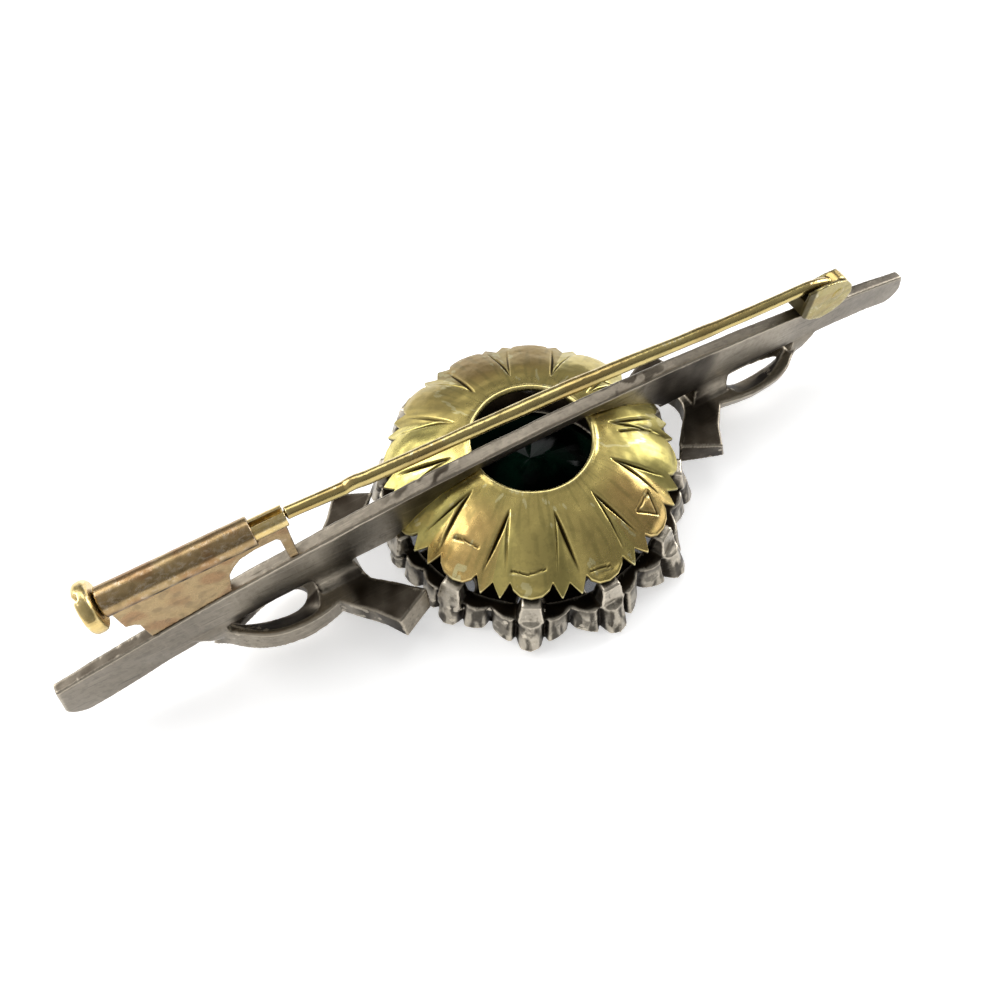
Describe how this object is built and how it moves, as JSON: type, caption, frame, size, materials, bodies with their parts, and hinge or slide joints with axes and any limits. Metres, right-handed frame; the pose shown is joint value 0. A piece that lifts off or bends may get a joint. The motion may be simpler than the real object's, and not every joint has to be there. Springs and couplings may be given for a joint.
{
  "type": "bar brooch",
  "caption": "Bar brooch lying on its front: curved strip with open bows, domed petal cup behind a round faceted stone, hinged pin and sliding tube catch.",
  "frame": {"origin": "middle of the brooch's plan, in the plane of the stones' front faces on which it rests", "axes": "+Z is the brooch's back, +X points to the hinge end of the bar and -X to the catch end, +Y lies across the bar"},
  "size_m": [0.0604, 0.0224, 0.013],
  "materials": {
    "silver_bar": "worn silver, lightly tarnished",
    "silver_setting": "worn silver, dark in the flutes",
    "gold_cup": "polished greenish yellow gold",
    "rose_gold": "satin rose gold",
    "gold_fittings": "polished yellow gold",
    "agate": "polished, near black green",
    "diamond": "polished"
  },
  "bodies": {
    "brooch": {"bar_and_bows": "silver_bar", "setting_ring": "silver_setting", "gold_cup": "gold_cup", "main_agate": "agate", "catch_tube": "rose_gold", "hinge": "gold_fittings", "diamond_01": "diamond", "diamond_02": "diamond", "diamond_03": "diamond", "diamond_04": "diamond", "diamond_05": "diamond", "diamond_06": "diamond", "diamond_07": "diamond", "diamond_08": "diamond", "diamond_09": "diamond", "diamond_10": "diamond", "diamond_11": "diamond", "diamond_12": "diamond"},
    "slide": {"catch_slide": "gold_fittings"},
    "pin": {"pin_stem": "gold_fittings"}
  },
  "joints": [
    {"name": "catch_slide_draw", "type": "slide", "parent": "brooch", "child": "slide", "axis": [-1, 0, 0], "range_m": [0, 0.0025]},
    {"name": "pin_swing", "type": "hinge", "parent": "brooch", "child": "pin", "pos_m": [0.0224, 0, 0.00822], "axis": [0, 1, 0], "range_deg": [0, 70]}
  ]
}
